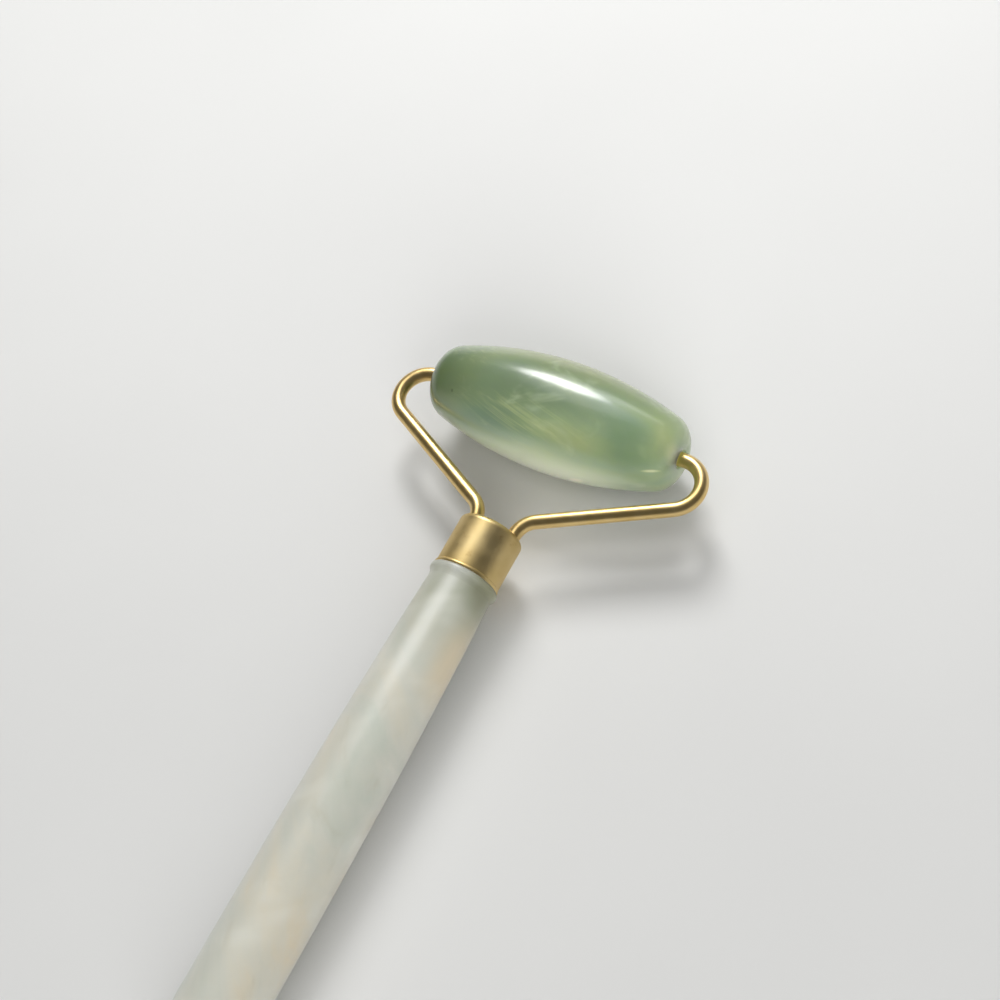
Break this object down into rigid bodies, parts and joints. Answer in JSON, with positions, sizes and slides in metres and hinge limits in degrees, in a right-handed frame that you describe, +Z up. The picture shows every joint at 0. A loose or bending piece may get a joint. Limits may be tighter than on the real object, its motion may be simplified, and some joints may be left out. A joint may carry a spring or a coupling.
{
  "type": "jade face roller",
  "caption": "Hand-held face roller: a barrel-shaped green jade stone spinning on a bent gold wire fork, set in a brass ferrule on a pale jade handle with a rounded butt.",
  "frame": {"origin": "middle of the object's length and width, on the table that it lies on", "axes": "+Z up from the table, X along the stone's axle, +Y along the handle from the butt towards the stone"},
  "size_m": [0.054, 0.1224, 0.0175],
  "materials": {
    "green_jade": "polished, cloudy and slightly translucent",
    "pale_jade": "polished, cloudy and slightly translucent",
    "gold_wire": "polished gold plate",
    "brass": "satin",
    "nylon": "moulded",
    "resin": "cured adhesive"
  },
  "bodies": {
    "grip": {"handle": "pale_jade", "adhesive_fill": "resin", "ferrule": "brass", "fork_wire": "gold_wire"},
    "roller": {"roller_stone": "green_jade", "left_sleeve": "nylon", "right_sleeve": "nylon"}
  },
  "joints": [
    {"name": "roller_spin", "type": "hinge", "parent": "grip", "child": "roller", "pos_m": [0, 0.0524, 0.00875], "axis": [1, 0, 0], "continuous": true}
  ]
}
